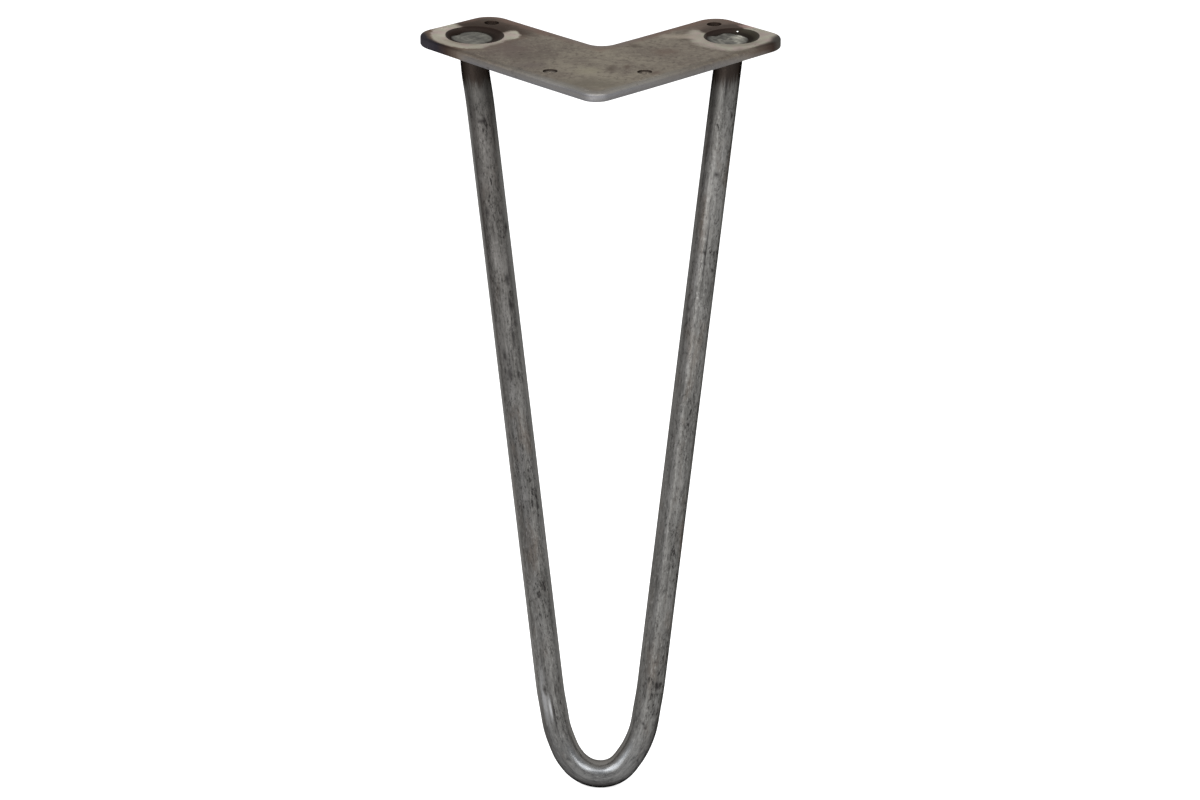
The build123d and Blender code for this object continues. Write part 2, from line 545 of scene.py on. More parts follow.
class RodFinish(Finish):
    """Bare drawn bar: grey steel with long streaks, specks of mill scale, heat tint and painted shadow under
    the plate, painted shade on its flanks and underside, and painted highlights on its edges and bend.
    """

    steel: Colour = paint(83, 82, 80)
    # Pale steel for streaks and grain, also laid as the painted highlight along the bar's edges.
    pale: Colour = paint(120, 119, 117)
    dull: Colour = paint(62, 61, 59)
    haze: Colour = paint(80, 72, 65)
    scale: Colour = paint(32, 30, 30)
    scorch_and_shadow: Colour = paint(33, 28, 25)
    rubbed: Colour = paint(136, 131, 124)
    bright: Colour = paint(176, 177, 180)
    blue: Colour = paint(84, 87, 91)
    # Colour of the painted highlight on the bend's crescent.
    sheen: Colour = paint(160, 168, 178)
    shade: Colour = (0.66, 0.64, 0.63, 1.0)
    # Multipliers of painted shade: on the left flank, in the calm bands, on the inner flank under the plate
    # and on the stretch under the plate.
    flank_shade: Colour = (0.62, 0.61, 0.61, 1.0)
    calm_shade: Colour = (0.60, 0.60, 0.61, 1.0)
    hood_shade: Colour = (0.54, 0.53, 0.52, 1.0)
    under: Colour = (0.70, 0.70, 0.70, 1.0)

    def __init__(self, effects: SharedEffects) -> None:
        """Paints the bar on its own straight-bar coordinates, from the metal up.

        Length runs from the foot and is signed by side, inner runs from the axis to the hairpin's inside, and
        rightward goes from -1 to 1 across the bar as the photograph shows it.

        Args:
            effects: The shared node groups.
        """
        super().__init__("drawn_bar_steel", self.dull)
        graph = self.graph
        place = graph.attribute("bar_place", "Vector")
        _, self.inner, self.length = graph.split(place)
        self.drop = graph.split(graph.own_place())[2]
        self.away = abs(self.length)
        self.rightward = graph.math("SIGN", self.length) * self.inner * (-1.0 / SIZES.rod_radius)
        self.lines = graph.group(effects.streaks, Place=place, Stretch=(1700.0, 1700.0, 80.0))
        self.flakes = graph.group(effects.specks, Place=place, Stretch=(760.0, 760.0, 300.0),
                                  Amount=self.rightward * 0.05 - 0.008)
        self.pits = graph.group(effects.specks, Place=place, Stretch=(1700.0, 1700.0, 900.0),
                                Amount=self.rightward * 0.03 + 0.012)
        self.patches = graph.noise(graph.stretch(place, (170.0, 170.0, 60.0)), 1.0, 4.0, 0.6)
        self.rust = graph.noise(graph.stretch(place, (120.0, 120.0, 40.0)), 1.0, 3.0, 0.55, 0.4)
        self.grain = graph.noise(graph.stretch(place, (1300.0, 1300.0, 430.0)), 1.0, 2.0, 0.6)
        self._metal()
        self._flanks()
        self._marks()
        nick = graph.attribute("nick")
        self.lay(nick.most(0.0) * 0.85, self.scale)
        self.lay(graph.math("MINIMUM", nick, 0.0) * -0.8, self.bright)
        bend, speck = self.away.span(0.045, 0.020), self.flakes["Speck"]
        rough = self.patches.span(0.3, 0.7, 0.52, 0.42) + speck * 0.15
        rough = rough + self.length.span(0.18, 0.30, 0.0, -0.10) - bend * 0.21
        height = (self.lines["Streak"] * 0.5 - speck * 0.4) * (1.0 - bend * 0.8)
        self.close(rough, 0.9 - speck * 0.4, height, depth=0.00004, edge=0.28)

    def _metal(self) -> None:
        """Lays the bare metal: dull patches, drawn lines, a haze of rust, grain and specks of scale."""
        self.lay(self.patches.span(0.36, 0.64), self.steel)
        self.lay(self.lines["Band"] * 0.4, self.pale)
        self.lay(self.lines["Streak"] * 0.25, self.pale)
        self.lay(self.rust.span(0.48, 0.72, 0.0, 0.6) * self.drop.span(-0.036, -0.060), self.haze)
        self.lay(self.grain.span(0.54, 0.72, 0.0, 0.55), self.pale)
        self.lay(self.grain.span(0.46, 0.28, 0.0, 0.6), self.scale)
        self.lay(self.flakes["Stain"] * 0.4, self.dull)
        self.lay(self.flakes["Speck"] * 0.8, self.scale)
        self.lay(self.pits["Speck"] * 0.6, self.scale)

    def _flanks(self) -> None:
        """Lays what differs across the bar: painted shade on the left flank, bands of painted shade that
        narrow the lamps' highlight, and a painted highlight along the edges.
        """
        rightward, length = self.rightward, self.length
        self.darken(length.span(-0.10, -0.33), self.shade)
        # Painted shade on the left flank of both bars, fading out before the outermost edge.
        left = rightward.span(-0.08, -0.66) * rightward.span(-0.97, -0.74)
        self.darken(left * self.away.span(0.08, 0.26, 0.35, 1.0), self.flank_shade)
        # Painted shade in bands left of the bars' centre, which narrows the lamps' highlight there.
        left_calm_shade = rightward.span(-0.62, -0.36) * rightward.span(0.40, -0.05)
        left_calm_shade = left_calm_shade * length.span(-0.26, -0.16, 0.3, 1.0) * length.span(-0.09, -0.13, 0.5, 1.0)
        left_calm_shade = left_calm_shade * length.span(-0.02, -0.05)
        right_calm_shade = rightward.span(-0.66, -0.42) * rightward.span(-0.12, -0.30)
        right_calm_shade = right_calm_shade * length.span(0.30, 0.24) * length.span(0.02, 0.06) * 0.75
        self.darken(left_calm_shade + right_calm_shade, self.calm_shade)
        # Painted highlight along both edges of the bar, in the pale steel colour.
        left_edge_highlight = rightward.span(-0.70, -0.97, 0.0, length.span(0.02, -0.03, 0.35, 0.85))
        right_edge_highlight = rightward.span(0.70, 0.97, 0.0, length.span(0.02, -0.03, 0.0, 0.7))
        self.lay(left_edge_highlight + right_edge_highlight, self.pale)

    def _marks(self) -> None:
        """Lays the marked stretches: heat tint and painted shadow under the plate, rubbed in the bend with a
        painted highlight on its crescent, and painted shade on the bend's underside and sole.
        """
        drop, inner, away = self.drop, self.inner, self.away
        wander = (self.lines["Streak"] - 0.5) * 0.012
        # Painted shade on the bar's inner flank just under the plate.
        self.darken(inner.span(0.0002, 0.0042) * drop.span(-0.066, -0.022), self.hood_shade)
        # Painted shadow under the plate, darkening the top stretch of the bar.
        self.darken(drop.span(-0.045, -0.022, 0.0, 0.5), self.under)
        # Heat tint under the plate, darkened further as painted shadow.
        self.lay((drop + wander).span(-0.042, -0.022, 0.0, 0.5), self.dull)
        burnt = drop + wander * 0.4 + self.length.span(-0.1, 0.1, 0.0, -0.0018)
        self.lay(burnt.span(-0.0255, -0.0180, 0.0, 0.96), self.scorch_and_shadow)
        saddle = away.span(0.036, 0.014) * inner.span(0.0030, 0.0056)
        self.lay(saddle * 0.5, self.rubbed)
        self.lay(away.span(0.040, 0.015, 0.0, 0.22), self.blue)
        # Painted highlight on the crescent of the bend.
        crescent_highlight = away.span(0.030, 0.010) * inner.span(0.0012, 0.0028) * inner.span(0.0054, 0.0036)
        self.lay(crescent_highlight * 0.10, self.sheen)
        # Painted shade on the underside of the bend.
        underside_shade = away.span(0.055, 0.030) * inner.span(-0.0005, -0.0058)
        self.lay(underside_shade * 0.4, self.scale)
        # Painted contact shadow at the foot, where the bar meets the floor.
        sole_shade = (drop + wander * 0.1).span(-0.3475, -0.3548)
        self.lay(sole_shade * 0.8, self.scale)


@dataclass(frozen=True)
class Smear:
    """A soft spot on the plate's top: its centre, its reach in X and Y, its colour and its cover."""

    x: float
    y: float
    width: float
    depth: float
    colour: Colour
    cover: float


class PlateFinish(Finish):
    """Bare rolled plate: warm grey, stained, heat-tinted round the welds and dark at the arms' ends, with
    painted shade in its dishes, holes, lower walls and front edges, and a painted highlight on a worn edge.
    """

    steel: Colour = paint(118, 110, 101)
    stain: Colour = paint(98, 89, 83)
    blot: Colour = paint(84, 77, 71)
    cool: Colour = paint(147, 140, 126)
    side_wall: Colour = paint(98, 95, 93)
    front_wall: Colour = paint(101, 101, 104)
    worn_edge_and_highlight: Colour = paint(128, 126, 122)
    low_wall_shade: Colour = paint(80, 81, 87)
    left_wall: Colour = paint(89, 87, 86)
    fillet_shade: Colour = (0.80, 0.79, 0.78, 1.0)
    tip_grey: Colour = paint(76, 74, 69)
    red_rim: Colour = paint(112, 93, 84)
    halo: Colour = paint(182, 179, 164)
    warm_halo: Colour = paint(184, 172, 164)
    flush: Colour = paint(176, 150, 144)
    left_brown: Colour = paint(72, 61, 54)
    right_brown: Colour = paint(102, 90, 82)
    left_fringe: Colour = paint(104, 86, 73)
    right_fringe: Colour = paint(90, 79, 71)
    burnt: Colour = paint(41, 33, 30)
    olive: Colour = paint(53, 50, 42)
    dish_shadow: Colour = paint(26, 22, 20)
    scale: Colour = paint(58, 53, 49)
    front_hole_shade: Colour = paint(44, 38, 34)
    rear_hole_shade: Colour = paint(38, 30, 26)
    smears: tuple[Smear, ...] = (
        Smear(0.0060, 0.0046, 0.0022, 0.0052, paint(92, 83, 74), 0.75),
        Smear(0.0130, 0.0078, 0.0020, 0.0044, paint(92, 80, 72), 0.75),
        Smear(0.0262, -0.0016, 0.0036, 0.0040, paint(98, 84, 76), 0.6),
        Smear(0.0152, 0.0390, 0.0040, 0.0040, paint(92, 84, 75), 0.6),
        Smear(0.0290, 0.0300, 0.0080, 0.0070, paint(108, 94, 85), 0.6),
        Smear(-0.0040, 0.0010, 0.0070, 0.0070, paint(150, 144, 126), 0.6),
        Smear(-0.0010, -0.0190, 0.0200, 0.0100, paint(112, 106, 95), 0.85),
        Smear(-0.0400, 0.0320, 0.0130, 0.0130, paint(104, 93, 87), 0.8),
        Smear(-0.0300, 0.0080, 0.0090, 0.0060, paint(106, 97, 92), 0.7),
        Smear(-0.0295, 0.0210, 0.0120, 0.0090, paint(99, 91, 84), 0.6),
        Smear(0.0345, 0.0532, 0.0110, 0.0042, paint(158, 148, 135), 0.75),
        Smear(0.0378, 0.0486, 0.0042, 0.0020, paint(84, 78, 67), 0.6),
    )

    def __init__(self, effects: SharedEffects, plate: "MountingPlate") -> None:
        """Paints the plate on its object coordinates, from the metal up.

        X and Y are the object's, z is the height above the top face before the arms' ends rise, and ragged is
        a noise in metres that frays borders.

        Args:
            effects: The shared node groups.
            plate: The plate, for its dishes' places.
        """
        super().__init__("rolled_plate_steel", self.stain)
        graph = self.graph
        place = graph.own_place()
        self.x, self.y, _ = graph.split(place)
        self.z = graph.attribute("depth") * -1.0
        self.half = abs(self.x)
        self.right = graph.math("GREATER_THAN", self.x, 0.0)
        self.ragged = (graph.noise(place, 150.0, 5.0, 0.75) - 0.5) * 0.011
        lines = graph.group(effects.streaks, Place=place, Stretch=(110.0, 800.0, 800.0))
        specks = graph.group(effects.specks, Place=place, Stretch=(420.0, 420.0, 420.0), Amount=-0.04)
        clouds = graph.noise(place, 48.0, 4.0, 0.6, 0.3)
        mottle = graph.noise(graph.stretch(place, (230.0, 330.0, 330.0)), 1.0, 4.0, 0.65)
        fleck = graph.noise(graph.stretch(place, (430.0, 330.0, 330.0)), 1.0, 3.0, 0.6, 0.2)
        grain = graph.noise(place, 1100.0, 3.0, 0.6)
        self.lay(clouds.span(0.34, 0.60, 0.25, 1.0), self.steel)
        middle = clouds.span(0.36, 0.62) * self.half.span(0.040, 0.006) * 0.6
        self.lay(middle + self.x.span(-0.05, 0.03, 0.0, 0.25), self.cool)
        self.lay(mottle.span(0.50, 0.70, 0.0, 0.8), self.stain)
        self.lay(mottle.span(0.44, 0.28, 0.0, 0.5), self.cool)
        self.lay(fleck.span(0.52, 0.70, 0.0, 0.6), self.blot)
        self.lay(fleck.span(0.46, 0.30, 0.0, 0.5), self.cool)
        self.lay(lines["Streak"] * 0.22, self.stain)
        self.lay(grain.span(0.4, 0.75, 0.0, 0.3), self.cool)
        self._heat(plate)
        self._smear()
        self._walls(effects)
        self.lay(specks["Speck"] * 0.45, self.scale)
        self._holes()
        rough = mottle.span(0.3, 0.7, 0.46, 0.58) + self.z.span(-0.0002, -0.0014, 0.0, 0.10)
        self.close(rough, 0.88, grain * 0.6 + lines["Streak"] * 0.4, depth=0.00004, edge=0.5)

    def by_arm(self, left: float, right: float, blend: float = 0.01) -> Field:
        """One value on the left arm and another on the right, with a smooth step as wide as the blend."""
        return self.x.span(-blend, blend, left, right)

    def _smear(self) -> None:
        """Lays the larger stains and rubbed spots, each an oval with a frayed border."""
        for smear in self.smears:
            away_x = (self.x - smear.x) * (1.0 / smear.width)
            away_y = (self.y - smear.y) * (1.0 / smear.depth)
            away = self.graph.size(away_x, away_y) + self.ragged * 180.0
            self.lay(away.span(1.3, 0.1) * smear.cover, smear.colour)

    def _walls(self, effects: SharedEffects) -> None:
        """Lays the edge walls: grey, paler at the outer corner, burnt towards the arms' ends, with painted
        shade low on the walls and along the front fillet, and a worn edge that carries a painted highlight.

        Along and across are measured as on the drawing, and the gap is the distance from the outline.

        Args:
            effects: The shared node groups.
        """
        graph, x, y, z, half, ragged = self.graph, self.x, self.y, self.z, self.half, self.ragged
        along = (half + y + SIZES.setback) * SLANT
        across = (y + SIZES.setback - half) * SLANT
        inset = graph.attribute("edge_gap")
        gap = inset + ragged * 0.35
        front, facing = half.span(0.040, 0.004), across.span(0.0100, 0.0042)
        wall = (z + ragged * 0.12).span(-0.0001, -0.0014) * inset.span(0.0030, 0.0016)
        # A paler band along the top's front edges: worn steel with a painted highlight.
        worn_and_highlight = gap.span(half.span(0.030, 0.0, 0.0046, 0.0064), 0.0008) * half.span(0.056, 0.020)
        self.lay(worn_and_highlight * 0.75, self.worn_edge_and_highlight)
        grey = graph.mix(front, self.side_wall, self.front_wall)
        grey = graph.mix(x.span(0.004, -0.007), grey, self.left_wall)
        # Painted shade towards the bottom of the walls.
        grey = graph.mix(z.span(-0.0018, -0.0034, 0.0, 0.55), grey, self.low_wall_shade)
        self.lay(wall * half.span(0.078, self.by_arm(0.056, 0.050, 0.03), 0.15, 0.85), grey)
        # Painted shade on the front fillet, which damps the lamps' highlight there.
        crest = z.span(-0.00005, -0.0004) * z.span(-0.0022, -0.0012) * front
        self.lay(crest * x.span(0.004, -0.004, 0.1, 0.45), self.low_wall_shade)
        # Painted shade along the front edges, where the lamps light the fillet.
        fillet_shade = half.span(0.018, 0.044) * gap.span(0.0046, 0.0012) * facing
        self.darken(fillet_shade * z.span(-0.0026, -0.0010, 0.3, 1.0), self.fillet_shade)
        inner = (across + ragged * 0.6).span(0.0435, 0.0485) * along.span(0.062, 0.090, 0.45, 0.85)
        inner = inner * z.span(-0.0012, -0.0003)
        back = gap.span(0.0042, 0.0010) * y.span(0.056, 0.070) * half.span(0.068, 0.060) * 0.65
        self.lay(inner.most(back), self.red_rim)
        pairs = ((0.078, 0.084), (0.115, 0.121), (0.85, 0.58))
        low, high, hottest = (self.by_arm(*pair, 0.05) for pair in pairs)
        tip = graph.group(effects.temper, Heat=(along + ragged * 0.5).span(low, high, 0.0, hottest))
        reach = along.span(0.104, 0.116, self.by_arm(0.0026, 0.0042, 0.05), 0.0058)
        border = gap.span(reach, reach * 0.3) * facing
        edge = (wall * across.span(0.0100, 0.0042, 0.35, 1.0)).most(border)
        self.lay(edge * tip["Cover"] * 0.94, tip["Tint"])
        lower = wall * self.right * z.span(-0.0016, -0.0030) * along.span(0.110, 0.102) * 0.45
        self.lay(lower, self.side_wall)
        self.lay(wall.most(border) * self.right * along.span(0.1090, 0.1140) * 0.75, self.tip_grey)

    def _heat(self, plate: "MountingPlate") -> None:
        """Lays the weld's heat: a pale halo before the dish, brown behind it and a burnt dish, with painted
        shadow deep in the dish.

        Out x runs from a dish's centre to the arm's outer side and out y to the back. Reach is the distance
        from that centre, frayed and drawn in towards the plate's outer corner.

        Args:
            plate: The plate, for its dishes' places.
        """
        graph, x, y, z, ragged, by_arm = self.graph, self.x, self.y, self.z, self.ragged, self.by_arm
        (left_x, left_y), (right_x, right_y) = (plate.dish_centre(side).tolist() for side in Side)
        left = 1.0 - self.right
        out_x = self.right * (x - right_x) + left * (left_x - x)
        out_y = y - by_arm(left_y, right_y)
        far = graph.size(out_x, out_y)
        cornerward = (out_x + out_y) * -SLANT / far
        thin = cornerward.span(0.78, 0.98) * by_arm(0.0038, 0.0020)
        reach = graph.size(out_x * 1.06, out_y) + thin + ragged * 0.6
        flat = z.span(-0.0012, -0.0003)
        slope = out_x.most(0.0) * by_arm(-1.3, -1.7)
        wedge = out_x.span(-0.0120, -0.0165, 0.0, by_arm(-0.0040, -0.0075))
        point = out_x.span(-0.0178, -0.0215) * left * 0.0085
        behind = (out_y + slope + wedge + point + ragged).span(0.0005, 0.0065)
        before = 1.0 - behind
        brown = graph.mix(self.right, self.left_brown, self.right_brown)
        self.lay(reach.span(0.036, 0.020) * behind * flat * 0.95, brown)
        self.lay(reach.span(0.0215, 0.0160) * behind * flat * by_arm(0.4, 0.55), self.burnt)
        fringe = reach.span(0.0275, 0.0225) * before * cornerward.span(0.9, 0.3, 0.3, 0.75)
        self.lay(fringe, graph.mix(self.right, self.left_fringe, self.right_fringe))
        pale = reach.span(by_arm(0.0222, 0.0250), by_arm(0.0202, 0.0190)) * before * flat
        near = out_y.span(-0.003, -0.012, by_arm(0.9, 0.75), 0.45)
        rim = reach.span(0.0150, 0.0180, 0.0, 0.3) * out_y.span(-0.004, -0.012)
        clouds = graph.noise(graph.own_place(), 190.0, 2.0, 0.5).span(0.42, 0.60)
        halo = graph.mix(clouds, self.halo, self.warm_halo)
        self.lay(pale * (near + rim) * ragged.span(-0.002, 0.002, 1.0, 0.78), halo)
        blush = graph.size(x - 0.0660, (y - 0.0698) * 0.8) + ragged * 0.5
        self.lay(blush.span(0.0052, 0.0018) * 0.8, self.flush)
        beneath = (far + ragged).span(0.0190, 0.0080) * z.span(-0.0034, -0.0038)
        self.lay(beneath * 0.8, self.burnt)
        dish = far.span(0.0150, 0.0142) * z.span(-0.00002, -0.00020) * z.span(-0.0038, -0.0034)
        char = graph.mix(self.right * out_x.span(-0.002, 0.008), self.burnt, self.olive)
        # Painted shadow in the deep part of the dish, round the weld.
        char = graph.mix(z.span(-0.0011, -0.0019, 0.0, 0.75), char, self.dish_shadow)
        self.lay(dish * 0.95, char)

    def _holes(self) -> None:
        """Paints shade into the screw holes: the front pair under its rim, the rear pair all the way."""
        rows = ((SIZES.front_screw, 0.0007, self.front_hole_shade), (SIZES.rear_screw, 0.006, self.rear_hole_shade))
        for place, deep, dark in rows:
            hole_x, hole_y = SIZES.on_plate(place).tolist()
            inside = self.graph.size(self.half - hole_x, self.y - hole_y).span(0.0040, 0.0035)
            inside = inside * self.z.span(-0.00001, -0.00015)
            self.lay(inside * self.z.span(-deep - 0.0008, -deep, 0.25, 0.95), dark)


class WeldFinish(Finish):
    """Weld metal as it set: grey, with a painted highlight on the crests of its ripples, on one patch and on
    its spatter, and burnt at its toe.
    """

    metal: Colour = paint(82, 81, 78)
    bright: Colour = paint(188, 186, 174)
    burnt: Colour = paint(48, 43, 39)
    spatter: Colour = paint(214, 214, 208)

    def __init__(self, effects: SharedEffects) -> None:
        """Paints the weld by its own toe, crest and bead values.

        Args:
            effects: The shared node groups.
        """
        super().__init__("plug_weld_metal", self.metal)
        graph = self.graph
        toe, crest, bead = (graph.attribute(name) for name in ("toe", "crest", "bead"))
        place = graph.own_place()
        blotch = graph.noise(place, 380.0, 3.0, 0.6)
        specks = graph.group(effects.specks, Place=place, Stretch=(1100.0, 1100.0, 1100.0), Amount=-0.08)
        # Painted highlight on the ripples' crests and the bright patch, carried by the crest value.
        self.lay(crest * 0.8, self.bright)
        self.lay(blotch.span(0.5, 0.78, 0.0, 0.35), self.burnt)
        self.lay(specks["Speck"] * 0.4, self.burnt)
        self.lay((toe + blotch * 0.12).span(0.93, 1.07), self.burnt)
        # The spatter drop is painted near white: a painted glint.
        self.lay(bead, self.spatter)
        rough = blotch.span(0.3, 0.7, 0.42, 0.54) - bead * 0.25
        self.close(rough, 0.9, blotch, depth=0.00005, edge=0.5)


@dataclass(frozen=True)
class Nick:
    """A small mark in the bar: its signed length from the foot, its turn from the front and its size.

    A mark with a depth below zero is a bright rubbed ridge.
    """

    place: float
    turn: float
    length: float
    width: float
    depth: float = 0.00010


@dataclass(frozen=True)
class Sway:
    """Where a hand-bent bar strays from its true line: a bell of offset towards the hairpin's inside."""

    place: float
    inward: float
    spread: float


@dataclass
class HairpinRod:
    """One round bar, bent to a hairpin."""

    sizes: LegSizes = SIZES
    around: int = 72
    nose_steps: int = 26
    cheek_steps: int = 30
    straight_steps: int = 200
    wobble: float = 0.0015
    wobble_length: float = 0.09
    wobble_seed: int = 3
    full_nick: float = 0.00008
    nicks: tuple[Nick, ...] = (
        Nick(-0.3226, 0.00, 0.0008, 0.0022), Nick(-0.2806, -0.35, 0.0014, 0.0010),
        Nick(-0.2721, 0.98, 0.0018, 0.0010), Nick(-0.2481, 0.52, 0.0022, 0.0009),
        Nick(-0.2359, 0.56, 0.0032, 0.0009), Nick(-0.2209, 0.45, 0.0042, 0.0007),
        Nick(-0.2126, -0.35, 0.0022, 0.0008), Nick(-0.2039, -0.10, 0.0028, 0.0008),
        Nick(-0.2031, 0.52, 0.0018, 0.0007), Nick(-0.0529, -0.35, 0.0016, 0.0007),
        Nick(-0.0391, 0.06, 0.0095, 0.00035, 0.00014), Nick(-0.0432, -0.12, 0.0050, 0.0005, -0.00006),
        Nick(-0.0480, -0.50, 0.0120, 0.0012, -0.00003), Nick(0.3396, -0.10, 0.0040, 0.0004, 0.00014),
        Nick(0.2994, -0.17, 0.0010, 0.0012), Nick(0.2631, -0.08, 0.0150, 0.0003),
        Nick(0.2621, 0.03, 0.0009, 0.0009), Nick(0.2281, 0.07, 0.0006, 0.0006, 0.00014),
        Nick(0.0551, -0.45, 0.0020, 0.0012), Nick(0.0364, 0.10, 0.0008, 0.0008),
        Nick(0.0346, -0.10, 0.0007, 0.0007),
    )
    sways: tuple[Sway, ...] = (
        Sway(-0.040, 0.0005, 0.007), Sway(0.0405, 0.0005, 0.007), Sway(0.014, 0.0003, 0.005),
        Sway(-0.019, -0.0004, 0.005), Sway(-0.345, -0.00045, 0.009),
    )

    @staticmethod
    def both(half: np.ndarray, sign: int) -> np.ndarray:
        """The right half's values, with a mirrored copy of the sign given before them."""
        return np.concatenate([sign * half[:0:-1], half])

    def path(self) -> tuple[np.ndarray, np.ndarray, np.ndarray]:
        """The centre line from the left end round the foot to the right end.

        In the hairpin's own plane, x runs across and t up from the foot's centre. The nose is an arc about
        (0, nose radius), the cheek an arc of the wider radius that starts where the nose ends, and the
        straight is the tangent from there to the rod's place in the plate.

        Returns:
            Points, headings (angle of the tangent from +x) and lengths from the foot, signed by side.
        """
        s = self.sizes
        nose, cheek = s.nose_radius, s.cheek_radius
        reach = (s.height - s.rod_radius) / math.cos(s.lean)
        centre_x = (nose - cheek) * math.sin(s.nose_angle)
        centre_t = nose + (cheek - nose) * math.cos(s.nose_angle)
        top_x, top_t = s.rod_end()[0] - centre_x, reach - centre_t
        straight = math.atan2(top_t, top_x) + math.asin(cheek / math.hypot(top_x, top_t))
        run_x, run_t = math.cos(straight), math.sin(straight)
        start_x, start_t = centre_x + cheek * run_t, centre_t - cheek * run_x
        on_nose = np.linspace(0.0, s.nose_angle, self.nose_steps)
        on_cheek = np.linspace(s.nose_angle, straight, self.cheek_steps)[1:]
        end = (reach - s.dish_depth / math.cos(s.lean) - start_t) / run_t
        line = np.linspace(0.0, end, self.straight_steps)[1:]
        x = [nose * np.sin(on_nose), centre_x + cheek * np.sin(on_cheek), start_x + line * run_x]
        t = [nose * (1 - np.cos(on_nose)), centre_t - cheek * np.cos(on_cheek), start_t + line * run_t]
        heading = [on_nose, on_cheek, np.full(line.shape, straight)]
        bent = nose * s.nose_angle
        length = [nose * on_nose, bent + cheek * (on_cheek - s.nose_angle),
                  bent + cheek * (straight - s.nose_angle) + line]
        x, t, heading, length = (np.concatenate(rows) for rows in (x, t, heading, length))
        flat = np.stack([self.both(x, -1), self.both(t, 1)], axis=-1)
        return flat, self.both(heading, -1), self.both(length, -1)

    def build(self) -> bpy.types.Object:
        """Sweeps the bar: a circle of the rod's radius carried along the path, square to it.

        Returns:
            The bar's object.
        """
        s = self.sizes
        flat, heading, length = self.path()
        up = np.array([0.0, math.sin(s.lean), math.cos(s.lean)])
        front = np.array([0.0, -math.cos(s.lean), math.sin(s.lean)])
        across = np.array([1.0, 0.0, 0.0])
        drop = s.height - s.rod_radius
        foot = np.array([0.0, s.rod_end()[1] - drop * math.tan(s.lean), -drop])
        inward = -np.sin(heading)[:, None] * across + np.cos(heading)[:, None] * up
        along = np.cos(heading)[:, None] * across + np.sin(heading)[:, None] * up
        spine = foot + flat[:, :1] * across + flat[:, 1:] * up
        for sway in self.sways:
            bell = sway.inward * np.exp(-(((length - sway.place) / sway.spread) ** 2))
            spine = spine + bell[:, None] * inward
        turn = TURN * turns(self.around)
        rows, columns = np.meshgrid(length, turn, indexing="ij")
        dent = self.dents(rows, columns)
        uneven = self.wobble * wave(columns / TURN, rows / self.wobble_length, self.wobble_seed)
        radius = s.rod_radius * (1.0 + uneven) - dent
        rim = np.cos(turn)[None, :, None] * front + np.sin(turn)[None, :, None] * inward[:, None, :]
        points = spine[:, None, :] + radius[..., None] * rim
        points[..., 2] = np.maximum(points[..., 2], -s.height)
        bar = np.stack([s.rod_radius * np.cos(columns), s.rod_radius * np.sin(columns), rows], axis=-1)
        for end in (0, -1):
            slide = (-s.dish_depth - points[end, :, 2]) / along[end, 2]
            points[end] += slide[:, None] * along[end]
        parts = MeshParts("hairpin_bar")
        parts.grid(points, bar_place=bar, nick=np.clip(dent / self.full_nick, -1.0, 1.0))
        for end in (0, -1):
            middle = np.concatenate([bar[end], bar[end].mean(axis=0)[None]])
            parts.fan(points[end], points[end].mean(axis=0), bar_place=middle, nick=np.zeros(self.around + 1))
        return parts.finish(sharp=60.0)

    def dents(self, length: np.ndarray, turn: np.ndarray) -> np.ndarray:
        """How deep the nicks go: each is a bell in length and in distance round the bar.

        Args:
            length: Lengths from the foot, signed by side.
            turn: Angles round the bar from its front.

        Returns:
            Depths in metres.
        """
        depth = np.zeros(length.shape)
        for nick in self.nicks:
            gap = self.sizes.rod_radius * ((turn - nick.turn + np.pi) % TURN - np.pi)
            bell = ((length - nick.place) / nick.length) ** 2 + (gap / nick.width) ** 2
            depth += nick.depth * np.exp(-bell)
        return depth

    def dress(self, piece: bpy.types.Object, effects: SharedEffects) -> None:
        """Gives the bar its finish and its place in the frame.

        Args:
            piece: The built piece.
            effects: The shared node groups.
        """
        piece.data.materials.append(RodFinish(effects).material)
        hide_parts("hairpin_rod")
        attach(piece, "root")


